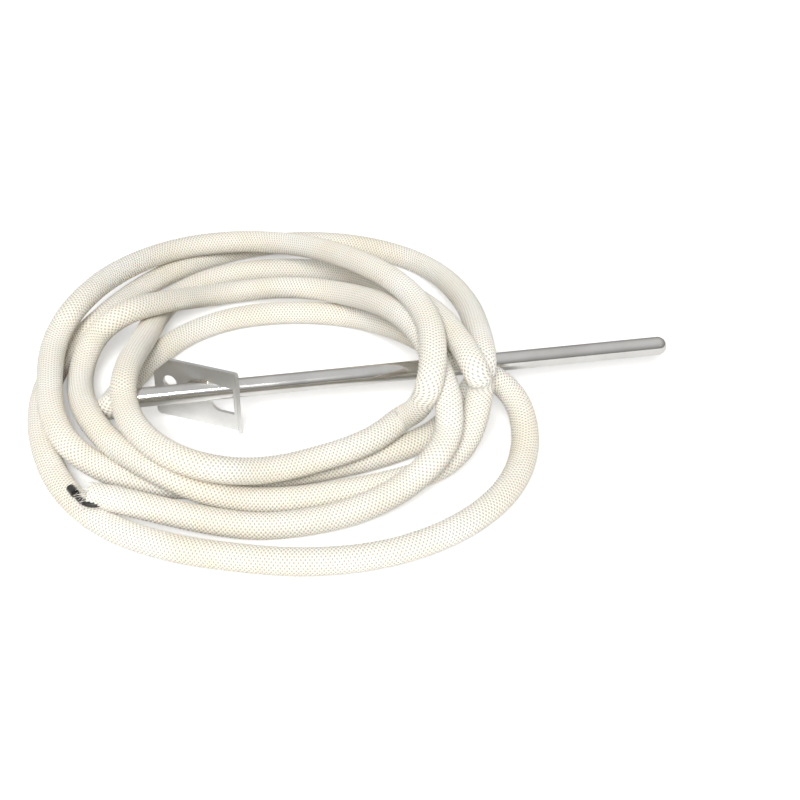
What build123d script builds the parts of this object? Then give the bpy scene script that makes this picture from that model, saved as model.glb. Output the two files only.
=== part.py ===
from build123d import *
from math import cos, pi, radians, sin, tan
import os

# Flame sensor probe: a closed stainless sheath through a slanted mounting plate,
# with a long braided lead that lies in a loose coil round it.
#
# Frame: the origin is where the sheath's axis crosses the middle of the plate.
# +X runs along the sheath to its tip, +Z is up, and the coil's underside and the
# plate's lower edge are at table_z.

# ---- driving dimensions, mm -------------------------------------------------
sheath_d = 6.35
sheath_wall = 0.5
sheath_front = 152.4
sheath_rear = 24.4
tip_spigot = 3.0

plate_thickness = 1.2
plate_slant = 30.0
plate_above = 8.5
plate_below = 13.7
plate_far = 21.0
plate_near = 8.3
lip_length = 2.3
bend_radius = 1.3
plate_corner = 1.5
plate_cut = 6.0

screw_hole_d = 4.8
screw_hole_reach = 15.4
window_left = -1.2
window_right = 7.0
window_bottom = -7.6
window_top = 2.6
window_round = 3.6
weld_width = 0.6
weld_height = 0.6
weld_end = -1.6

core_offset = 1.15
element_wire_d = 0.8
junction_d = 1.6
junction_gap = 4.0
tip_cement_length = 10.0
bead_gap = 0.175
bead_length = 20.0
bead_count = 6
bead_clearance = 0.1
crimp_d = 1.9
crimp_length = 8.0
splice_gap = 8.0
lead_wire_d = 1.7
rear_cement_length = 14.0

exit_sleeve_gap = 0.075
tail_d = 1.8
terminal_d = 2.6
terminal_neck_d = 1.5
pin_d = 1.6
neck_share = 0.3
terminal_chamfer = 0.25
end_sleeve_d = 6.8
end_sleeve_length = 5.0
end_sleeve_y = -43.4
beyond = 200.0  # further than any piece reaches

# ---- values worked out from them --------------------------------------------
sheath_r = sheath_d / 2
bore_r = sheath_r - sheath_wall
bead_r = bore_r - bead_gap
exit_sleeve_d = 2 * (bore_r - exit_sleeve_gap)
table_z = -plate_below
plate_height = plate_above + plate_below
tube_end = sheath_front - sheath_r
spigot_back = tube_end - tip_spigot
cement_back = spigot_back - tip_cement_length
beads_back = cement_back - bead_count * bead_length
crimp_front = beads_back - splice_gap
crimp_back = crimp_front - crimp_length
junction_x = spigot_back - junction_gap
along = Vector(cos(radians(plate_slant)), -sin(radians(plate_slant)), 0)
facing = Vector(sin(radians(plate_slant)), cos(radians(plate_slant)), 0)

# A plane whose X runs along the plate and whose Y is up, seen from the front.
plate_plane = Plane(origin=(0, 0, 0), x_dir=along, z_dir=-facing)
sheath_plane = Plane.YZ


def above_table(height):
    """The z of a point that stands this high over the table."""
    return table_z + height


def tube_along(points, diameter, radii):
    """Sweep a round section along straight runs joined by tangent arcs."""
    with BuildPart() as tube:
        with BuildLine() as path:
            if radii:
                FilletPolyline(*points, radius=radii)
            else:
                Line(*points)
        with BuildSketch(path.wire() ^ 0):
            Circle(diameter / 2)
        sweep(path=path.wire())
    return tube.part, path.wire().length


def bend_radii(points):
    """The largest arcs that the runs beside each point leave room for."""
    radii = []
    for before, here, after in zip(points, points[1:], points[2:]):
        run_in = Vector(*here) - Vector(*before)
        run_out = Vector(*after) - Vector(*here)
        turn = radians(run_in.get_angle(run_out))
        shorter = min(run_in.length, run_out.length)
        radii.append(0.45 * shorter / tan(turn / 2))
    return radii


os.makedirs("parts", exist_ok=True)

# ---- sheath -----------------------------------------------------------------
with BuildPart() as sheath_tube:
    with BuildSketch(sheath_plane.offset(-sheath_rear)):
        Circle(sheath_r)
        Circle(bore_r, mode=Mode.SUBTRACT)
    extrude(amount=sheath_rear + tube_end)
sheath_tube.part.label = "sheath_tube"
export_step(sheath_tube.part, "parts/sheath_tube.step")

# The tip is a half-round plug whose spigot is welded into the tube.
with BuildPart() as sheath_tip:
    with BuildSketch(Plane.XZ):
        with BuildLine():
            CenterArc((tube_end, 0), sheath_r, 0, 90)
            Polyline(
                (tube_end, sheath_r),
                (tube_end, bore_r),
                (spigot_back, bore_r),
                (spigot_back, 0),
                (sheath_front, 0),
            )
        make_face()
    revolve(axis=Axis.X)
sheath_tip.part.label = "sheath_tip"
export_step(sheath_tip.part, "parts/sheath_tip.step")

# ---- mounting plate ---------------------------------------------------------
# A flat plate that stands slanted across the sheath, with a short lip folded
# square to the sheath at its near end. Its upper far corner is cut off.
lip_bend = along * plate_near
lip_end = lip_bend + Vector(0, -lip_length, 0)
with BuildPart() as mounting_bracket:
    with BuildSketch(Plane.XY.offset(table_z)):
        with BuildLine():
            FilletPolyline(along * -plate_far, lip_bend, lip_end, radius=bend_radius)
        trace(line_width=plate_thickness)
    extrude(amount=plate_height)
    far_corners = mounting_bracket.edges().filter_by(
        lambda edge: abs(edge.center().dot(facing)) < plate_thickness / 2
        and edge.center().dot(along) < plate_thickness - plate_far
        and edge.length < 1.1 * plate_thickness
    ).sort_by(Axis.Z)
    fillet(far_corners[0], plate_corner)
    chamfer(far_corners[-1], plate_cut)
    with BuildSketch(plate_plane) as window:
        with Locations(((window_left + window_right) / 2, (window_bottom + window_top) / 2)):
            Rectangle(window_right - window_left, window_top - window_bottom)
        fillet(window.vertices().sort_by(Axis.X)[:2], window_round)
    extrude(amount=plate_thickness, both=True, mode=Mode.SUBTRACT)
    with BuildSketch(plate_plane):
        with Locations((-screw_hole_reach, 0)):
            Circle(screw_hole_d / 2)
    extrude(amount=plate_thickness, both=True, mode=Mode.SUBTRACT)
    with BuildSketch(sheath_plane):
        Circle(sheath_r)
    extrude(amount=plate_far, both=True, mode=Mode.SUBTRACT)
mounting_bracket.part.label = "mounting_bracket"
export_step(mounting_bracket.part, "parts/mounting_bracket.step")

# A bead of weld on the plate's rear face only: its front face lies flat on a wall.
with BuildPart() as bracket_weld:
    with BuildSketch(plate_plane.offset(plate_thickness / 2)):
        with Locations((weld_end - sheath_d, 0)):
            Rectangle(2 * sheath_d, 4 * sheath_d)
    extrude(amount=weld_height)
    with BuildSketch(sheath_plane):
        Circle(sheath_r + weld_width)
    extrude(amount=plate_far, both=True, mode=Mode.INTERSECT)
    with BuildSketch(sheath_plane):
        Circle(sheath_r)
    extrude(amount=plate_far, both=True, mode=Mode.SUBTRACT)
bracket_weld.part.label = "bracket_weld"
export_step(bracket_weld.part, "parts/bracket_weld.step")

# ---- what the sheath holds --------------------------------------------------
with BuildPart() as junction_bead:
    with BuildSketch(Plane.XZ.offset(-core_offset)):
        with Locations((junction_x, 0)):
            Circle(junction_d / 2)
    extrude(amount=2 * core_offset)
junction_bead.part.label = "junction_bead"
export_step(junction_bead.part, "parts/junction_bead.step")

sides = {"positive": core_offset, "negative": -core_offset}
element_wires = {}
for name, offset_y in sides.items():
    wire_plane = Plane(origin=(0, offset_y, 0), x_dir=(0, 1, 0), z_dir=(1, 0, 0))
    with BuildPart() as element_wire:
        with BuildSketch(wire_plane.offset(crimp_back + crimp_length / 2)):
            Circle(element_wire_d / 2)
        extrude(amount=junction_x - crimp_back - crimp_length / 2)
        add(junction_bead.part, mode=Mode.SUBTRACT)
    element_wire.part.label = "element_wire_" + name
    export_step(element_wire.part, "parts/element_wire_" + name + ".step")
    element_wires[name] = element_wire.part
    with BuildPart() as lead_wire:
        with BuildSketch(wire_plane.offset(-sheath_rear)):
            Circle(lead_wire_d / 2)
        extrude(amount=sheath_rear + crimp_back)
        with BuildSketch(wire_plane.offset(crimp_back)):
            Circle(element_wire_d / 2)
        extrude(amount=crimp_length / 2)
    lead_wire.part.label = "lead_wire_" + name
    export_step(lead_wire.part, "parts/lead_wire_" + name + ".step")

# Set cement holds the junction and the wires' ends in the tip.
with BuildPart() as tip_cement:
    with BuildSketch(sheath_plane.offset(cement_back)):
        Circle(bore_r)
    extrude(amount=tip_cement_length)
    add(junction_bead.part, mode=Mode.SUBTRACT)
    for wire in element_wires.values():
        add(wire, mode=Mode.SUBTRACT)
tip_cement.part.label = "tip_cement"
export_step(tip_cement.part, "parts/tip_cement.step")

with BuildPart() as insulator_beads:
    for number in range(bead_count):
        with BuildSketch(sheath_plane.offset(beads_back + number * bead_length)):
            Circle(bead_r)
            with Locations((core_offset, 0), (-core_offset, 0)):
                Circle(element_wire_d / 2 + bead_clearance, mode=Mode.SUBTRACT)
        extrude(amount=bead_length - bead_clearance)
insulator_beads.part.label = "insulator_beads"
export_step(insulator_beads.part, "parts/insulator_beads.step")

with BuildPart() as splice_crimps:
    with BuildSketch(sheath_plane.offset(crimp_back)):
        with Locations((core_offset, 0), (-core_offset, 0)):
            Circle(crimp_d / 2)
            Circle(element_wire_d / 2, mode=Mode.SUBTRACT)
    extrude(amount=crimp_length)
splice_crimps.part.label = "splice_crimps"
export_step(splice_crimps.part, "parts/splice_crimps.step")

with BuildPart() as rear_cement:
    with BuildSketch(sheath_plane.offset(-sheath_rear)):
        Circle(bore_r)
        with Locations((core_offset, 0), (-core_offset, 0)):
            Circle(lead_wire_d / 2, mode=Mode.SUBTRACT)
    extrude(amount=rear_cement_length)
rear_cement.part.label = "rear_cement"
export_step(rear_cement.part, "parts/rear_cement.step")

# ---- braided lead -----------------------------------------------------------
# The lead leaves the sheath's mouth, folds down to the table and runs into the coil.
exit_route = [
    (-sheath_rear, 0, 0),
    (-sheath_rear - 5.2, 0, 0),
    (-33.4, 1.4, -3.5),
    (-33.6, 5.7, -6.7),
    (-31.8, 11.2, -8.0),
    (-28.6, 19.6, -8.8),
    (-23.3, 28.6, -9.3),
]
exit_radii = bend_radii(exit_route)
exit_solid, exit_length = tube_along(exit_route, exit_sleeve_d, exit_radii)
exit_section = pi * (exit_sleeve_d / 2) ** 2
print("lead exit radii", [round(value, 1) for value in exit_radii])
print("lead exit volume", round(exit_solid.volume, 1))
print("its section times its length", round(exit_section * exit_length, 1))
exit_solid.label = "lead_exit"
export_step(exit_solid, "parts/lead_exit.step")

# The loose coil is one closed ring: how far its turns reach outwards and
# inwards from the coil's centre, every thirty degrees from +X.
coil_centre = Vector(20.0, 10.0, 0)
outer_reach = [73, 80, 100, 99, 102, 86, 79, 83, 84, 88, 94, 90]
inner_reach = [47, 50, 46, 43, 39, 36, 43, 46, 40, 37, 38, 46]
# Height of the turns over the table, across the sheath: they climb over it.
ridge = [
    (-82, 9),
    (-60, 11),
    (-47, 17),
    (-35, 20),
    (-29, 27),
    (-8, 31),
    (6, 30),
    (40, 27),
    (75, 22),
    (95, 18),
    (116, 13),
]
tunnel_gap = 0.4
tunnel_height = plate_below + sheath_r + tunnel_gap
tunnel_half_width = 4.5
tunnel_foot = 20.0
pocket_back = -37.0
exit_pocket_centre = (-28.0, 8.5)
exit_pocket_size = (20.0, 29.0)
terminal_pocket_x = -31.0
terminal_pocket_y = -33.0
terminal_floor = 8.0


def ring_points(reach):
    """Points round the coil's centre, at these distances from it."""
    step = 360 / len(reach)
    return [
        coil_centre + Vector(r * cos(radians(k * step)), r * sin(radians(k * step)), 0)
        for k, r in enumerate(reach)
    ]


with BuildPart() as lead_coil:
    with BuildSketch(Plane.XY.offset(table_z)):
        with BuildLine():
            Spline(*ring_points(outer_reach), periodic=True)
        make_face()
        with BuildLine():
            Spline(*ring_points(inner_reach), periodic=True)
        make_face(mode=Mode.SUBTRACT)
    extrude(amount=beyond)
    with BuildSketch(sheath_plane):
        with BuildLine():
            Polyline(
                (ridge[0][0], table_z),
                *[(y, above_table(height)) for y, height in ridge],
                (ridge[-1][0], table_z),
                close=True,
            )
        make_face()
    extrude(amount=beyond, both=True, mode=Mode.INTERSECT)
    # A tunnel under the turns clears the sheath, the plate and the lead's exit.
    with BuildSketch(sheath_plane.offset(pocket_back)):
        with BuildLine():
            Polyline(
                (-tunnel_foot, table_z),
                (-tunnel_half_width, above_table(tunnel_height)),
                (tunnel_half_width, above_table(tunnel_height)),
                (tunnel_foot, table_z),
                close=True,
            )
        make_face()
    extrude(amount=beyond, mode=Mode.SUBTRACT)
    with BuildSketch(Plane.XY.offset(table_z)):
        with Locations(exit_pocket_centre):
            Rectangle(*exit_pocket_size)
    extrude(amount=tunnel_height, mode=Mode.SUBTRACT)
    # The sleeve's open end and its two tails lie on the outer turn.
    with BuildSketch(Plane.XY.offset(above_table(terminal_floor))):
        with Locations((terminal_pocket_x, terminal_pocket_y)):
            Rectangle(beyond, beyond, align=(Align.MAX, Align.MAX))
    extrude(amount=beyond, mode=Mode.SUBTRACT)
lead_coil.part.label = "lead_coil"
export_step(lead_coil.part, "parts/lead_coil.step")

# ---- far end of the lead ----------------------------------------------------
end_z = above_table(terminal_floor + end_sleeve_d / 2)
with BuildPart() as lead_end_sleeve:
    end_face = Plane(origin=(terminal_pocket_x, end_sleeve_y, end_z), x_dir=(0, 1, 0), z_dir=(-1, 0, 0))
    with BuildSketch(end_face):
        Circle(end_sleeve_d / 2)
    extrude(amount=end_sleeve_length)
lead_end_sleeve.part.label = "lead_end_sleeve"
export_step(lead_end_sleeve.part, "parts/lead_end_sleeve.step")

tail_start_x = terminal_pocket_x - end_sleeve_length
low_z = above_table(terminal_floor) + terminal_d / 2
pin_z = low_z + 1.1
tail_routes = {
    "positive": [
        (tail_start_x, -45.2, low_z),
        (-39.6, -45.2, low_z),
        (-42.2, -43.6, low_z),
        (-43.6, -40.6, low_z),
    ],
    "negative": [
        (tail_start_x, -42.6, pin_z),
        (-37.6, -42.6, pin_z),
        (-38.8, -42.2, pin_z),
    ],
}
# Each terminal carries on straight from its tail: a neck, then a wider barrel.
terminal_lengths = {"positive": 5.0, "negative": 2.4}
barrel_widths = {"positive": terminal_d, "negative": pin_d}
for name, route in tail_routes.items():
    tail_solid, _ = tube_along(route, tail_d, bend_radii(route))
    tail_solid.label = "lead_tail_" + name
    export_step(tail_solid, "parts/lead_tail_" + name + ".step")
    start = Vector(*route[-1])
    heading = (start - Vector(*route[-2])).normalized()
    length = terminal_lengths[name]
    neck = neck_share * length
    with BuildPart() as terminal:
        with BuildSketch(Plane(origin=start, z_dir=heading)):
            Circle(terminal_neck_d / 2)
        extrude(amount=neck)
        with BuildSketch(Plane(origin=start + heading * neck, z_dir=heading)):
            Circle(barrel_widths[name] / 2)
        extrude(amount=length - neck)
        rims = terminal.edges().filter_by(GeomType.CIRCLE)
        chamfer(rims.sort_by(lambda edge: (edge.center() - start).length)[-1], terminal_chamfer)
    terminal.part.label = "terminal_" + name
    export_step(terminal.part, "parts/terminal_" + name + ".step")
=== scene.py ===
from math import pi, radians

import bpy
import numpy as np
from mathutils import Euler, Matrix, Vector


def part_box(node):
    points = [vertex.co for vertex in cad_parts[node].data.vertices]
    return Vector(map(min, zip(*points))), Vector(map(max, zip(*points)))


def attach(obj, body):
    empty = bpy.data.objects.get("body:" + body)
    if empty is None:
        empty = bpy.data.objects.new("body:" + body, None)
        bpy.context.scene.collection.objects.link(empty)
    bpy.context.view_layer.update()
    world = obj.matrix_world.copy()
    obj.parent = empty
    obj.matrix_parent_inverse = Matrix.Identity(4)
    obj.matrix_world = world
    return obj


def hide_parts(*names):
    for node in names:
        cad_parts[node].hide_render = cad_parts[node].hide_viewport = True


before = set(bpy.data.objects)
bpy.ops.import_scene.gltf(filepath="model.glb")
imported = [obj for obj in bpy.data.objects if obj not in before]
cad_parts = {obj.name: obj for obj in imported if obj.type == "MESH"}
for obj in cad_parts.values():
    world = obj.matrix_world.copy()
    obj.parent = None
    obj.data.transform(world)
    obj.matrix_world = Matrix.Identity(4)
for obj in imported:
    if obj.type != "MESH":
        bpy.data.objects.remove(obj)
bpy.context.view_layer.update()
millimetre = 0.001
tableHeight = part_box("mounting_bracket")[0][2]  # the plate's lower edge stands on the table
print("frame loaded, table at", round(tableHeight, 4))

camera = {
    "place": (-0.01243, -0.36135, 0.25616),
    "turn": 11.47,  # degrees to the right of +Y
    "down": 35.98,
    "roll": 0.9,
    "lens": 61.65,
    "sensor": 36.0,
    "nearest": 0.01,  # m, where its view begins
}

# The lead's centreline.
lead = {
    "sleeveDiameter": 8.0,  # mm, of the loose braid
    "mouthDiameter": 5.2,  # mm, where it is pushed in the sheath
    "exitRoute": [  # mm, folds down to the table behind the mouth
        (-24.4, 0.0, 0.0),
        (-29.6, 0.0, 0.0),
        (-33.4, 1.4, -3.5),
        (-33.6, 5.7, -6.7),
        (-31.8, 11.2, -8.0),
        (-28.6, 19.6, -8.8),
        (-23.3, 28.6, -9.3),
    ],
    "centre": (20.0, 10.0),  # mm, what the turns go round
    "perTurn": 12,  # reaches given for a turn
    "between": 2,  # control points for each of them
    "fine": 8,  # places worked out for each control point
    "firstAngle": 225.0,  # degrees, where the coil takes over from the exit
    "rest": 4.0,  # mm, the centreline's height where the sleeve lies on the table
    "apart": 7.8,  # mm, between the centrelines of two turns that touch
    "highest": 36.0,  # mm, where the pile over the sheath stops growing
    "overSheath": 7.3,  # mm, from the sheath's axis to a turn that lies on it
    "carriedFrom": -27.0,  # mm along X, where the sheath begins to carry the turns
    "exitStep": 0.1,  # of the way between two points of the exit, when turns are laid on it
    "passes": 12,  # in which the heights and the places settle
    "bridge": 20.0,  # mm, how far the stiff sleeve carries a hump along itself
    "lastBridge": 3,  # how many times shorter the last rounding reaches
    "endRoute": [(-28.0, -46.0, 8.5), (-39.8, -41.3, 10.7)],  # mm, the last by height over the table
}
# How far each turn reaches from the centre, in mm, every thirty degrees clockwise from the far left, as
# the camera sees it over the table. The turn laid first lies on the table, and each later one on those
# before it.
leadTurns = [
    {"laid": 1, "reach": [47, 48, 49, 54, 61, 81, 91, 89, 82, 82, 77, 76]},
    {"laid": 2, "reach": [78, 91, 102, 98, 78, 67, 53, 45, 47, 60, 70, 76]},
    {"laid": 5, "reach": [92, 105, 97, 80, 60, 48, 43, 40, 43, 46, 48, 51]},
    {"laid": 3, "reach": [58, 77, 80, 78, 70, 69, 67, 58, 57, 54, 58, 66]},
    {"laid": 4, "reach": [70, 66, 65, 66, 61, 59, 63, 67, 69]},
]


# The value at each place in a list, on a smooth (Catmull-Rom) curve through its numbers.
def smoothThrough(values, places):
    padded = np.r_[values[0], values, values[-1], values[-1]]
    k = np.minimum(places.astype(int), len(values) - 1)
    t = places - k
    before, here, after, later = (padded[k + n] for n in range(4))
    bend = 2 * before - 5 * here + 4 * after - later
    return here + 0.5 * t * (after - before + t * (bend + t * (3 * (here - after) + later - before)))


# Spreads each height along the line as a bridge does, then rounds it: the highest value within reach,
# averaged over the same reach.
def bridged(heights, spacing, reach):
    count = max(1, int(round(reach / spacing / 2)))
    padded = np.pad(heights, 2 * count, mode="edge")
    highest = np.max([padded[n:n + len(heights) + 2 * count] for n in range(2 * count + 1)], axis=0)
    weights = np.hanning(2 * count + 3)[1:-1]
    return np.convolve(highest, weights / weights.sum(), mode="valid")


# The height of every point of the turns over the table. Each turn is laid in its order: it rests on
# the table, on the sheath, and on the exit and the turns that are there already.
def laidHeights(x, y, order, spacing, settings):
    heights = np.full(len(x), settings["rest"])
    floor = tableHeight / millimetre
    exitRoute = np.array(settings["exitRoute"])
    steps = np.arange(0, len(exitRoute) - 1, settings["exitStep"])
    under = np.stack([np.interp(steps, np.arange(len(exitRoute)), column) for column in exitRoute.T], 1)
    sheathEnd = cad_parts["sheath_tip"].bound_box[6][0] / millimetre  # the corner of largest X, Y and Z
    for turn in sorted(set(order)):
        mine = order == turn
        need = np.full(mine.sum(), settings["rest"])
        onSheath = (x[mine] > settings["carriedFrom"]) & (x[mine] < sheathEnd)
        lift = np.sqrt(np.clip(settings["overSheath"] ** 2 - y[mine] ** 2, 0.0, None)) - floor
        need = np.where(onSheath & (np.abs(y[mine]) < settings["overSheath"]), np.maximum(need, lift), need)
        laid = order < turn
        placedX, placedY = np.r_[under[:, 0], x[laid]], np.r_[under[:, 1], y[laid]]
        placedHeight = np.r_[under[:, 2] - floor, heights[laid]]
        gap = np.hypot(x[mine][:, None] - placedX, y[mine][:, None] - placedY)
        lift = placedHeight + np.sqrt(np.clip(settings["apart"] ** 2 - gap ** 2, 0.0, None))
        lift = np.where(gap < settings["apart"], lift, 0.0)
        need = np.clip(np.maximum(need, lift.max(1)), None, settings["highest"])
        heights[mine] = bridged(need, spacing, settings["bridge"])
    return bridged(heights, spacing, settings["bridge"] / settings["lastBridge"])


# The turns' control points: the reaches on a smooth curve, and the heights as the turns lie. A place
# over the table moves towards the eye as it rises, so that the camera sees it where it was.
def coilPoints(turns, settings):
    reaches = np.concatenate([turn["reach"] for turn in turns]).astype(float)
    laid = np.concatenate([[turn["laid"]] * len(turn["reach"]) for turn in turns])
    last = len(reaches) - 1
    places = np.linspace(0, last, last * settings["between"] * settings["fine"] + 1)
    reach = smoothThrough(reaches, places)
    angle = -np.radians(settings["firstAngle"] + 360 / settings["perTurn"] * places)
    flat = np.stack([np.cos(angle), np.sin(angle)], 1) * reach[:, None] + settings["centre"]
    eye = np.array(camera["place"]) / millimetre
    eyeHeight = eye[2] - tableHeight / millimetre - settings["rest"]
    order = laid[places.astype(int)]
    spacing = np.linalg.norm(np.diff(flat, axis=0), axis=1).mean()
    heights = np.full(len(flat), settings["rest"])
    for _ in range(settings["passes"]):
        share = (heights - settings["rest"]) / eyeHeight
        place = flat + (eye[:2] - flat) * share[:, None]
        heights = (heights + laidHeights(place[:, 0], place[:, 1], order, spacing, settings)) / 2
    points = np.column_stack([place, heights + tableHeight / millimetre])
    return [tuple(point) for point in points[::settings["fine"]].tolist()]


# One open quadratic NURBS spline with these control points, in mm.
def splineCurve(name, points, resolution):
    curve = bpy.data.curves.new(name, "CURVE")
    curve.dimensions = "3D"
    spline = curve.splines.new("NURBS")
    spline.points.add(len(points) - 1)
    spline.points.foreach_set("co", [v for p in points for v in (*[c * millimetre for c in p], 1.0)])
    spline.order_u = 3
    spline.use_endpoint_u = True
    spline.resolution_u = resolution
    return bpy.data.objects.new(name, curve)


# The points of that spline, in order, as an array in metres.
def readSpline(name, points, resolution=12):
    holder = splineCurve(name, points, resolution)
    bpy.context.collection.objects.link(holder)
    depsgraph = bpy.context.evaluated_depsgraph_get()
    line = bpy.data.meshes.new_from_object(holder.evaluated_get(depsgraph))
    found = np.empty(len(line.vertices) * 3)
    line.vertices.foreach_get("co", found)
    curve = holder.data
    bpy.data.objects.remove(holder)
    bpy.data.curves.remove(curve)
    bpy.data.meshes.remove(line)
    return found.reshape(-1, 3)


# The same line, with its points an equal distance apart.
def evenPoints(line, spacing):
    along = np.r_[0, np.cumsum(np.linalg.norm(np.diff(line, axis=0), axis=1))]
    count = max(2, int(round(along[-1] / spacing)) + 1)
    wanted = np.linspace(0, along[-1], count)
    return np.stack([np.interp(wanted, along, line[:, k]) for k in range(3)], axis=1), wanted


# Tangents, a level direction across each, and the direction square to both that looks upwards.
def levelFrames(line):
    tangent = np.gradient(line, axis=0)
    tangent /= np.linalg.norm(tangent, axis=1)[:, None]
    across = np.cross(tangent, (0.0, 0.0, 1.0))
    across /= np.linalg.norm(across, axis=1)[:, None]
    return tangent, across, np.cross(across, tangent)


# A grid of points that closes round its columns, with a fan over each end.
# Faces join neighbours, and the UV map counts rows times uScale and columns times vScale.
def wrappedMesh(name, grid, uScale=1.0, vScale=1.0):
    rows, columns = grid.shape[:2]
    points = np.concatenate([grid.reshape(-1, 3), grid[0].mean(0)[None], grid[-1].mean(0)[None]])
    r, c = np.meshgrid(np.arange(rows - 1), np.arange(columns), indexing="ij")
    r, c = r.ravel(), c.ravel()
    beside = (c + 1) % columns
    quads = np.stack(
        [r * columns + c, (r + 1) * columns + c, (r + 1) * columns + beside, r * columns + beside], -1
    )
    quadUv = np.stack([[r, c], [r + 1, c], [r + 1, c + 1], [r, c + 1]]).transpose(2, 0, 1)
    turn = np.arange(columns)
    after = (turn + 1) % columns
    first, last = rows * columns, rows * columns + 1
    lastRow = (rows - 1) * columns
    fans = np.concatenate([
        np.stack([turn, after, np.full(columns, first)], -1),
        np.stack([lastRow + after, lastRow + turn, np.full(columns, last)], -1),
    ])
    startUv = np.stack([[turn * 0, turn], [turn * 0, turn + 1], [turn * 0 - 1, turn]]).transpose(2, 0, 1)
    endUv = startUv + [rows, 0]
    loops = np.concatenate([quads.ravel(), fans.ravel()])
    uv = np.concatenate([quadUv.reshape(-1, 2), startUv.reshape(-1, 2), endUv.reshape(-1, 2)])
    starts = np.concatenate([np.arange(len(quads)) * 4, len(quads) * 4 + np.arange(len(fans)) * 3])
    mesh = bpy.data.meshes.new(name)
    mesh.vertices.add(len(points))
    mesh.vertices.foreach_set("co", points.ravel())
    mesh.loops.add(len(loops))
    mesh.loops.foreach_set("vertex_index", loops)
    mesh.polygons.add(len(starts))
    mesh.polygons.foreach_set("loop_start", starts)
    mesh.polygons.foreach_set("use_smooth", np.ones(len(starts), bool))
    layer = mesh.uv_layers.new(name="UVMap")
    layer.data.foreach_set("uv", (uv * [uScale, vScale]).ravel())
    mesh.update(calc_edges=True)
    mesh.validate()
    return mesh


# Puts a finished mesh in the scene, on the one body of a part that doesn't move.
def addPiece(name, mesh, material):
    piece = bpy.data.objects.new(name, mesh)
    bpy.context.collection.objects.link(piece)
    mesh.materials.append(material)
    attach(piece, "root")
    return piece


# A node with its settings, and each input either linked or given its value.
def addNode(tree, kind, inputs=None, **settings):
    node = tree.nodes.new(kind)
    for key, value in settings.items():
        setattr(node, key, value)
    for key, value in (inputs or {}).items():
        if isinstance(value, bpy.types.NodeSocket):
            tree.links.new(value, node.inputs[key])
        else:
            node.inputs[key].default_value = value
    return node


def mathNode(tree, operation, first, second=0.0, third=0.0):
    return addNode(tree, "ShaderNodeMath", {0: first, 1: second, 2: third}, operation=operation).outputs[0]


# An empty shader group. The inputs are given by name with their defaults, None for a vector, and the
# outputs by name.
def newGroup(name, inputs, outputs):
    tree = bpy.data.node_groups.new(name, "ShaderNodeTree")
    for label, value in inputs.items():
        kind = "NodeSocketVector" if value is None else "NodeSocketFloat"
        socket = tree.interface.new_socket(label, in_out="INPUT", socket_type=kind)
        if value is not None:
            socket.default_value = value
    for label in outputs:
        tree.interface.new_socket(label, in_out="OUTPUT", socket_type="NodeSocketFloat")
    return tree, tree.nodes.new("NodeGroupInput"), tree.nodes.new("NodeGroupOutput")


# Soft patches from 0 to 1: noise, steepened round its middle. Every finish uses this group.
def makeCloudGroup():
    tree, given, out = newGroup("softPatches", {"Vector": None, "Scale": 60.0, "Contrast": 2.0}, ["Patches"])
    noise = addNode(
        tree, "ShaderNodeTexNoise",
        {"Vector": given.outputs["Vector"], "Scale": given.outputs["Scale"], "Detail": 3.0},
    )
    centred = mathNode(tree, "SUBTRACT", noise.outputs["Fac"], 0.5)
    steep = mathNode(tree, "MULTIPLY_ADD", centred, given.outputs["Contrast"], 0.5)
    limited = addNode(tree, "ShaderNodeClamp", {"Value": steep})
    tree.links.new(limited.outputs[0], out.inputs["Patches"])
    return tree


# Fine lines left by drawing or rolling: noise stretched along X, in the place that it is given.
def makeLinesGroup():
    tree, given, out = newGroup("drawnLines", {"Vector": None, "Along": 15.0, "Across": 2500.0}, ["Lines"])
    stretch = addNode(
        tree, "ShaderNodeCombineXYZ",
        {"X": given.outputs["Along"], "Y": given.outputs["Across"], "Z": given.outputs["Across"]},
    )
    placed = addNode(
        tree, "ShaderNodeVectorMath", {0: given.outputs["Vector"], 1: stretch.outputs[0]},
        operation="MULTIPLY",
    )
    noise = addNode(tree, "ShaderNodeTexNoise", {"Vector": placed.outputs[0], "Scale": 1.0, "Detail": 2.0})
    tree.links.new(noise.outputs["Fac"], out.inputs["Lines"])
    return tree


softPatches = makeCloudGroup()
drawnLines = makeLinesGroup()


# A material with its Principled shader, whose constant sockets are set by name.
def newMaterial(name, **constants):
    material = bpy.data.materials.new(name)
    material.use_nodes = True
    tree = material.node_tree
    shader = tree.nodes["Principled BSDF"]
    for key, value in constants.items():
        shader.inputs[key.replace("_", " ")].default_value = value
    return material, tree, shader


def useGroup(tree, group, inputs):
    return addNode(tree, "ShaderNodeGroup", inputs, node_tree=group).outputs[0]


# Soft patches of this scale in the object's own place.
def patchesIn(tree, place, scale, sharpness):
    return useGroup(tree, softPatches, {"Vector": place, "Scale": scale, "Contrast": sharpness})


# The colour between two, by a value from 0 to 1.
def blend(tree, value, first, second):
    ramp = addNode(tree, "ShaderNodeValToRGB", {"Fac": value})
    ramp.color_ramp.elements[0].color = (*first, 1.0)
    ramp.color_ramp.elements[1].color = (*second, 1.0)
    return ramp.outputs["Color"]


# Gives the shader a relief of this height: its strength, and its depth in mm, are in the settings.
def addRelief(tree, shader, height, settings):
    bump = addNode(
        tree, "ShaderNodeBump",
        {"Height": height, "Strength": settings["relief"], "Distance": settings["depth"] * millimetre},
    )
    tree.links.new(bump.outputs["Normal"], shader.inputs["Normal"])


# A value from 0 to 1, carried to the range from low to high.
def spread(tree, value, low, high):
    ranged = addNode(tree, "ShaderNodeMapRange", {"Value": value, "To Min": low, "To Max": high})
    return ranged.outputs["Result"]


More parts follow.
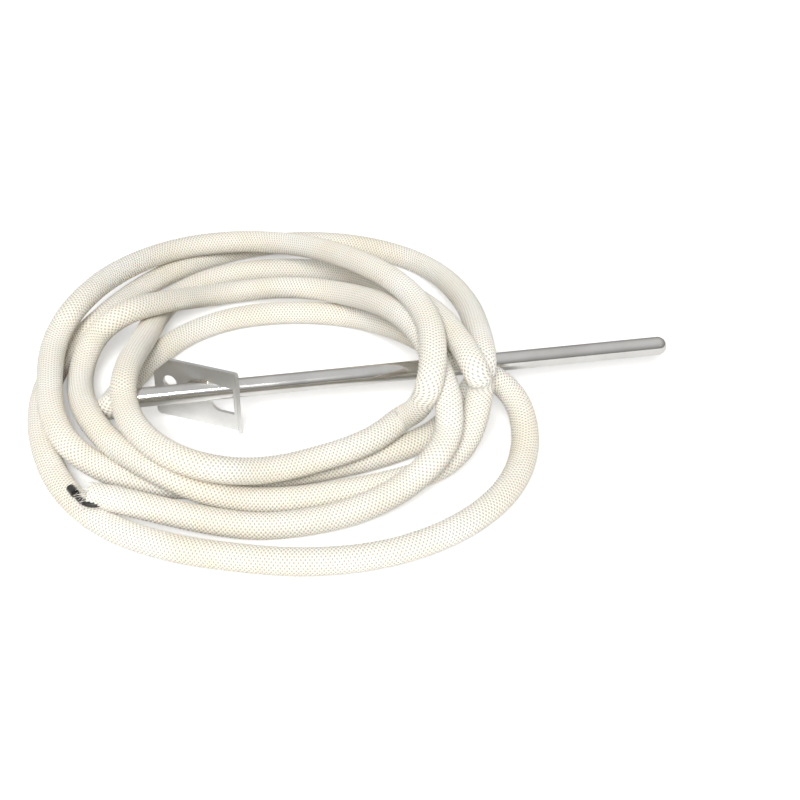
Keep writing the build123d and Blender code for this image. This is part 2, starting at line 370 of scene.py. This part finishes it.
# How sharply the patches and the grain of each kind of finish stand out.
contrast = {"metal": 2.0, "coat": 2.5, "grain": 1.5, "braid": 2.0}


# Bright metal with drawn lines in its gloss and height, and faint patches in its colour.
def metalFinish(name, settings):
    material, tree, shader = newMaterial(name, Metallic=1.0)
    place = addNode(tree, "ShaderNodeTexCoord").outputs["Object"]
    turned = addNode(
        tree, "ShaderNodeMapping", {"Vector": place, "Rotation": (0.0, 0.0, radians(settings["turn"]))}
    ).outputs["Vector"]
    lines = useGroup(
        tree, drawnLines, {"Vector": turned, "Along": settings["along"], "Across": settings["across"]}
    )
    patches = patchesIn(tree, place, settings["patchScale"], contrast["metal"])
    tree.links.new(blend(tree, patches, settings["dull"], settings["bright"]), shader.inputs["Base Color"])
    lined = mathNode(tree, "MULTIPLY_ADD", lines, settings["lineRough"], settings["rough"])
    rough = mathNode(tree, "MULTIPLY_ADD", patches, settings["patchRough"], lined)
    tree.links.new(rough, shader.inputs["Roughness"])
    addRelief(tree, shader, lines, settings)
    return material


# A dull or glossy coat with patches in its colour and gloss, and a fine grain.
def softFinish(name, settings, **constants):
    material, tree, shader = newMaterial(name, **constants)
    place = addNode(tree, "ShaderNodeTexCoord").outputs["Object"]
    patches = patchesIn(tree, place, settings["patchScale"], contrast["coat"])
    grain = patchesIn(tree, place, settings["grainScale"], contrast["grain"])
    tree.links.new(blend(tree, patches, settings["dark"], settings["light"]), shader.inputs["Base Color"])
    tree.links.new(spread(tree, grain, *settings["rough"]), shader.inputs["Roughness"])
    addRelief(tree, shader, grain, settings)
    return material


# Glass fibre braid on the sleeve's own UV map, where one unit is two rows of stitches.
# The stitch height is cos(2 pi u) cos(2 pi v); its low places are the pits, and the yarns in
# each stitch slant one way or the other by turns.
def braidFinish(name, settings):
    material, tree, shader = newMaterial(
        name, Sheen_Weight=settings["sheen"], Sheen_Roughness=settings["sheenRough"],
        Subsurface_Weight=settings["glow"], Subsurface_Scale=settings["glowDepth"] * millimetre,
        Specular_IOR_Level=settings["specular"],
    )
    coordinates = addNode(tree, "ShaderNodeTexCoord")
    parts = addNode(tree, "ShaderNodeSeparateXYZ", {"Vector": coordinates.outputs["UV"]})
    u = mathNode(tree, "MULTIPLY", parts.outputs["X"], 2 * pi)
    v = mathNode(tree, "MULTIPLY", parts.outputs["Y"], 2 * pi)
    waveU = mathNode(tree, "COSINE", u)
    waveV = mathNode(tree, "COSINE", v)
    stitch = mathNode(tree, "MULTIPLY", waveU, waveV)
    slantUp, slantDown = (
        mathNode(tree, "SINE", mathNode(tree, "MULTIPLY", mathNode(tree, side, u, v), settings["yarns"]))
        for side in ("ADD", "SUBTRACT")
    )
    upper = mathNode(tree, "GREATER_THAN", mathNode(tree, "MULTIPLY", mathNode(tree, "SINE", u), waveV), 0.0)
    yarn = addNode(tree, "ShaderNodeMix", {"Factor": upper, "A": slantUp, "B": slantDown})
    pits = addNode(
        tree, "ShaderNodeMapRange", {"Value": stitch, "From Min": -1.0, "From Max": settings["pitEdge"]}
    ).outputs["Result"]
    patches = patchesIn(tree, coordinates.outputs["Object"], settings["patchScale"], contrast["braid"])
    tint = blend(tree, patches, settings["warm"], settings["clean"])
    # Painted shade: the colour is darker in the pits, and a little darker in the grooves between the yarns,
    # following the relief where shade falls.
    paintedPitShade = spread(tree, pits, settings["pitPaintedShade"], 1.0)
    fine = mathNode(tree, "MULTIPLY_ADD", yarn.outputs["Result"], settings["yarnPaintedShade"], paintedPitShade)
    coloured = addNode(tree, "ShaderNodeMix", {"Factor": 1.0}, data_type="RGBA", blend_type="MULTIPLY")
    tree.links.new(tint, coloured.inputs[6])  # the two colours that it multiplies
    tree.links.new(fine, coloured.inputs[7])
    tree.links.new(coloured.outputs[2], shader.inputs["Base Color"])
    tree.links.new(spread(tree, pits, settings["pitRough"], settings["rough"]), shader.inputs["Roughness"])
    height = mathNode(tree, "MULTIPLY_ADD", yarn.outputs["Result"], settings["yarnHeight"], stitch)
    addRelief(tree, shader, height, settings)
    return material


polishedSteel = metalFinish("polishedSteel", {
    "turn": 0.0, "along": 12.0, "across": 1800.0, "patchScale": 90.0,
    "dull": (0.70, 0.69, 0.67), "bright": (0.83, 0.82, 0.80),
    "rough": 0.03, "lineRough": 0.13, "patchRough": 0.04, "relief": 0.35, "depth": 0.02,
})
rolledSteel = metalFinish("rolledSteel", {
    "turn": 30.0, "along": 30.0, "across": 1500.0, "patchScale": 120.0,
    "dull": (0.75, 0.75, 0.74), "bright": (0.88, 0.88, 0.87),
    "rough": 0.22, "lineRough": 0.16, "patchRough": 0.08, "relief": 0.3, "depth": 0.02,
})
weldSteel = metalFinish("weldSteel", {
    "turn": 0.0, "along": 900.0, "across": 900.0, "patchScale": 500.0,
    "dull": (0.34, 0.30, 0.25), "bright": (0.66, 0.63, 0.58),
    "rough": 0.22, "lineRough": 0.25, "patchRough": 0.1, "relief": 0.8, "depth": 0.12,
})
pinMetal = metalFinish("pinMetal", {
    "turn": 0.0, "along": 300.0, "across": 1500.0, "patchScale": 300.0,
    "dull": (0.62, 0.50, 0.43), "bright": (0.86, 0.75, 0.68),
    "rough": 0.18, "lineRough": 0.15, "patchRough": 0.1, "relief": 0.4, "depth": 0.03,
})
thermoWire = metalFinish("thermoWire", {
    "turn": 0.0, "along": 40.0, "across": 3000.0, "patchScale": 400.0,
    "dull": (0.40, 0.38, 0.35), "bright": (0.58, 0.56, 0.52),
    "rough": 0.25, "lineRough": 0.2, "patchRough": 0.1, "relief": 0.3, "depth": 0.02,
})
setCement = softFinish("setCement", {
    "dark": (0.74, 0.71, 0.63), "light": (0.90, 0.88, 0.82), "patchScale": 300.0, "grainScale": 1500.0,
    "rough": (0.8, 0.95), "relief": 0.6, "depth": 0.1,
})
firedBead = softFinish("firedBead", {
    "dark": (0.86, 0.83, 0.76), "light": (0.93, 0.91, 0.86), "patchScale": 200.0, "grainScale": 2500.0,
    "rough": (0.5, 0.7), "relief": 0.3, "depth": 0.04,
})
wireCover = softFinish("wireCover", {
    "dark": (0.78, 0.74, 0.66), "light": (0.90, 0.88, 0.82), "patchScale": 300.0, "grainScale": 2200.0,
    "rough": (0.7, 0.9), "relief": 0.6, "depth": 0.06,
})
blackCover = softFinish("blackCover", {
    "dark": (0.012, 0.011, 0.010), "light": (0.05, 0.045, 0.04), "patchScale": 500.0, "grainScale": 2500.0,
    "rough": (0.35, 0.6), "relief": 0.5, "depth": 0.06,
})
shrinkCover = softFinish("shrinkCover", {
    "dark": (0.010, 0.010, 0.010), "light": (0.035, 0.033, 0.03), "patchScale": 600.0, "grainScale": 1200.0,
    "rough": (0.18, 0.35), "relief": 0.4, "depth": 0.08,
}, Coat_Weight=0.3, Coat_Roughness=0.2)
glassBraid = braidFinish("glassBraid", {
    "warm": (0.91, 0.84, 0.70), "clean": (0.97, 0.945, 0.88), "patchScale": 35.0,
    # The pit and yarn shade values darken the braid's colour in its pits and between its yarns: painted
    # shade.
    "pitEdge": 0.05, "pitPaintedShade": 0.45, "pitRough": 0.85, "rough": 0.6,
    "yarns": 5.0, "yarnPaintedShade": 0.05, "yarnHeight": 0.12, "relief": 0.8, "depth": 0.18,
    "sheen": 0.2, "sheenRough": 0.5, "specular": 0.3, "glow": 0.08, "glowDepth": 1.0,
})
print("finishes made")

braid = {
    "columns": 28,  # round the sleeve, two to a row of stitches
    "spacing": 0.62,  # mm between stations, two to a stitch
    "relief": 0.14,  # mm, how far a stitch stands out or in
    "widen": 1.04,  # the loose sleeve sags a little flat
    "mouthLength": 9.0,  # mm, over which it swells from the sheath's mouth
    "endLength": 9.0,  # mm, over which it narrows to the tails
    "endDiameter": 6.6,
    "hollow": 0.80,  # of the outer radius, inside the open end
    "hollowDepth": 8.0,  # mm
    "innerRelief": 0.3,  # of a stitch, inside the open end
    "waver": 0.025,  # how much its width comes and goes
    "waves": [(17.0, 0.0, 0.5), (7.3, 1.0, 0.3), (41.0, 2.0, 0.6)],  # mm to a radian, phase and share
}
route = list(lead["exitRoute"]) + coilPoints(leadTurns, lead) + [
    (x, y, tableHeight / millimetre + height) for x, y, height in lead["endRoute"]
]
line, along = evenPoints(readSpline("leadRoute", route), braid["spacing"] * millimetre)


# From 0 to 1, level at both ends.
def eased(share):
    share = np.clip(share, 0, 1)
    return share * share * (3 - 2 * share)


# A round section carried along the line.
# Its radius swells from the mouth, narrows at the end, comes and goes slowly, and steps out and
# in by turns along and across, which is the braid. At the open end it turns in and runs back.
def sleeveGrid(line, along, settings):
    _, across, up = levelFrames(line)
    s = along / millimetre
    full, mouth, end = lead["sleeveDiameter"] / 2, lead["mouthDiameter"] / 2, settings["endDiameter"] / 2
    swell = eased(s / settings["mouthLength"])
    close = eased((along[-1] / millimetre - s) / settings["endLength"])
    radius = mouth + (full - mouth) * swell + (end - full) * (1 - close)
    waver = sum(np.sin(s / wave + phase) * share for wave, phase, share in settings["waves"])
    radius *= 1 + settings["waver"] * waver * swell
    back = int(settings["hollowDepth"] / settings["spacing"])
    rows = np.r_[np.arange(len(line)), np.arange(len(line) - 1, len(line) - 1 - back, -1)]
    inner = np.arange(len(rows)) >= len(line)
    radius = radius[rows] * np.where(inner, settings["hollow"], 1.0)
    k = np.arange(settings["columns"])
    turn = 2 * pi * k / settings["columns"]
    stitch = np.where((np.arange(len(rows))[:, None] + k) % 2 == 0, 1.0, -1.0)
    strength = settings["relief"] * np.where(inner, settings["innerRelief"], swell[rows])
    reach = (radius[:, None] + stitch * strength[:, None]) * millimetre
    wide = reach * np.cos(turn) * settings["widen"]
    tall = reach * np.sin(turn) / settings["widen"]
    return line[rows][:, None] + wide[..., None] * across[rows][:, None] + tall[..., None] * up[rows][:, None]


sleeveMesh = wrappedMesh("lead_sleeve", sleeveGrid(line, along, braid), uScale=0.5, vScale=0.5)
sleeve = addPiece("lead_sleeve", sleeveMesh, glassBraid)
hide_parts("lead_exit", "lead_coil", "lead_end_sleeve")
print("sleeve", len(sleeveMesh.polygons), "faces")

fray = {
    "strands": 70,
    "thickness": 0.16,  # mm
    "length": (1.5, 5.5),  # mm
    "rim": 0.93,  # of the end's radius, where they leave it
    "inside": 1.0,  # mm, how far within the end they start
    "outwards": 0.25,
    "scatter": 0.35,
    "droop": 0.45,
    "tip": 0.35,  # of the thickness, at the tip
    "aside": (0.3, 0.2, 0.93),  # what a fibre's sides are square to; no fibre runs along it
    "sides": 4,
    "steps": 6,
    "seed": 5,
}


# Loose fibres round the sleeve's cut end: each leaves the rim outwards and droops in an arc.
def frayGrid(settings):
    draw = np.random.default_rng(settings["seed"])
    count = settings["strands"]
    tangent, across, up = (v[-1] for v in levelFrames(line))
    angle = draw.uniform(0, 2 * pi, count)
    ring = np.cos(angle)[:, None] * across + np.sin(angle)[:, None] * up
    start = line[-1] + ring * braid["endDiameter"] / 2 * settings["rim"] * millimetre
    start -= tangent * settings["inside"] * millimetre
    length = draw.uniform(*settings["length"], count) * millimetre
    lean = draw.normal(0, settings["scatter"], (count, 3))
    t = np.linspace(0, 1, settings["steps"])[None, :, None]
    forward = tangent + settings["outwards"] * ring + lean
    droop = np.array([0.0, 0.0, -settings["droop"]]) * length[:, None]
    return start[:, None] + forward[:, None] * length[:, None, None] * t + droop[:, None] * t ** 2


# A thin prism round every fibre, all in one mesh; each narrows to its tip.
def strandMesh(name, centre, settings):
    count, steps = centre.shape[:2]
    sides = settings["sides"]
    k = np.arange(sides) * 2 * pi / sides
    heading = np.gradient(centre, axis=1)
    heading /= np.linalg.norm(heading, axis=2)[..., None]
    side = np.cross(heading, settings["aside"])
    side /= np.linalg.norm(side, axis=2)[..., None]
    other = np.cross(side, heading)
    taper = np.linspace(1.0, settings["tip"], steps)[None, :, None, None]
    taper = taper * settings["thickness"] / 2 * millimetre
    grid = centre[:, :, None] + taper * (
        np.cos(k)[None, None, :, None] * side[:, :, None]
        + np.sin(k)[None, None, :, None] * other[:, :, None]
    )
    base = np.arange(count)[:, None, None] * steps * sides
    r, c = np.meshgrid(np.arange(steps - 1), np.arange(sides), indexing="ij")
    beside = (c + 1) % sides
    quads = np.stack(
        [r * sides + c, (r + 1) * sides + c, (r + 1) * sides + beside, r * sides + beside], -1
    ).reshape(-1, 4)
    quads = (quads[None] + base).reshape(-1, 4)
    ends = np.stack([np.arange(sides), (steps - 1) * sides + np.arange(sides)[::-1]])
    caps = (ends[None] + base).reshape(-1, sides)
    mesh = bpy.data.meshes.new(name)
    mesh.from_pydata(grid.reshape(-1, 3), [], np.concatenate([quads, caps]).tolist())
    mesh.validate()
    return mesh


frayed = addPiece("frayed_end", strandMesh("frayed_end", frayGrid(fray), fray), wireCover)

# Finishes on the CAD nodes.
nodeFinishes = {
    "sheath_tube": polishedSteel, "sheath_tip": polishedSteel, "mounting_bracket": rolledSteel,
    "bracket_weld": weldSteel, "junction_bead": thermoWire, "element_wire_positive": thermoWire,
    "element_wire_negative": thermoWire, "tip_cement": setCement, "insulator_beads": firedBead,
    "splice_crimps": pinMetal, "rear_cement": setCement, "lead_wire_positive": wireCover,
    "lead_wire_negative": wireCover, "lead_tail_positive": blackCover, "lead_tail_negative": blackCover,
    "terminal_positive": shrinkCover, "terminal_negative": pinMetal,
}
for nodeName, finish in nodeFinishes.items():
    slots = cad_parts[nodeName].data.materials
    slots.clear()
    slots.append(finish)
print("CAD nodes finished")

# Floor, light and surround. Places and sizes are in metres.
studio = {
    "floorSize": 6.0,
    "floorDrop": 0.0002,  # under the plate's lower edge
    "floorRough": 0.9,
    "floorColour": (0.84, 0.835, 0.825),
    "floorGlow": 0.35,  # what the floor gives back to the camera alone, which keeps it white
    "horizon": (0.20, 0.195, 0.185),
    "horizonEnds": 0.02,  # the sine of the angle over the horizon where its colour begins to change
    "overhead": (0.66, 0.66, 0.66),
    "overheadBegins": 0.9,
    "keyPlace": (-0.25, -1.0, 0.95),
    "keyAim": (0.03, 0.0, 0.0),
    "keyPower": 18.5,
    "keySize": 0.5,
}


# A plain pale plane under the object.
def makeFloor(settings):
    half = settings["floorSize"] / 2
    mesh = bpy.data.meshes.new("floor")
    height = tableHeight - settings["floorDrop"]
    corners = [(-half, -half), (half, -half), (half, half), (-half, half)]
    mesh.from_pydata([(x, y, height) for x, y in corners], [], [(0, 1, 2, 3)])
    floor = bpy.data.objects.new("floor", mesh)
    bpy.context.collection.objects.link(floor)
    material, tree, shader = newMaterial(
        "floorPaper", Roughness=settings["floorRough"], Base_Color=(*settings["floorColour"], 1.0),
        Emission_Color=(1.0, 1.0, 1.0, 1.0),
    )
    seen = addNode(tree, "ShaderNodeLightPath").outputs["Is Camera Ray"]
    glow = mathNode(tree, "MULTIPLY", seen, settings["floorGlow"])
    tree.links.new(glow, shader.inputs["Emission Strength"])
    mesh.materials.append(material)


# Soft studio surround: bright overhead, darker towards the horizon.
def makeSky(settings):
    world = bpy.data.worlds.new("studio")
    world.use_nodes = True
    tree = world.node_tree
    place = addNode(tree, "ShaderNodeTexCoord").outputs["Generated"]
    height = addNode(tree, "ShaderNodeSeparateXYZ", {"Vector": place}).outputs["Z"]
    ramp = addNode(tree, "ShaderNodeValToRGB", {"Fac": height})
    ramp.color_ramp.elements[0].position = settings["horizonEnds"]
    ramp.color_ramp.elements[0].color = (*settings["horizon"], 1.0)
    ramp.color_ramp.elements[1].position = settings["overheadBegins"]
    ramp.color_ramp.elements[1].color = (*settings["overhead"], 1.0)
    tree.links.new(ramp.outputs["Color"], tree.nodes["Background"].inputs["Color"])
    bpy.context.scene.world = world


# A square soft box at this place that looks at the target.
def addLamp(name, place, target, size, power):
    lamp = bpy.data.lights.new(name, "AREA")
    lamp.size = size
    lamp.energy = power
    holder = bpy.data.objects.new(name, lamp)
    holder.location = place
    holder.rotation_euler = (Vector(target) - Vector(place)).to_track_quat("-Z", "Y").to_euler()
    bpy.context.collection.objects.link(holder)


def makeCamera(settings):
    data = bpy.data.cameras.new("camera")
    data.lens = settings["lens"]
    data.sensor_width = settings["sensor"]
    data.clip_start = settings["nearest"]
    holder = bpy.data.objects.new("camera", data)
    aim = Euler((radians(90 - settings["down"]), 0.0, radians(-settings["turn"]))).to_matrix()
    turned = aim @ Matrix.Rotation(radians(settings["roll"]), 3, "Z")
    holder.matrix_world = Matrix.Translation(settings["place"]) @ turned.to_4x4()
    bpy.context.collection.objects.link(holder)
    bpy.context.scene.camera = holder


makeFloor(studio)
makeSky(studio)
addLamp("key", studio["keyPlace"], studio["keyAim"], studio["keySize"], studio["keyPower"])
makeCamera(camera)
bpy.context.scene.view_settings.view_transform = "Standard"
print("studio ready")
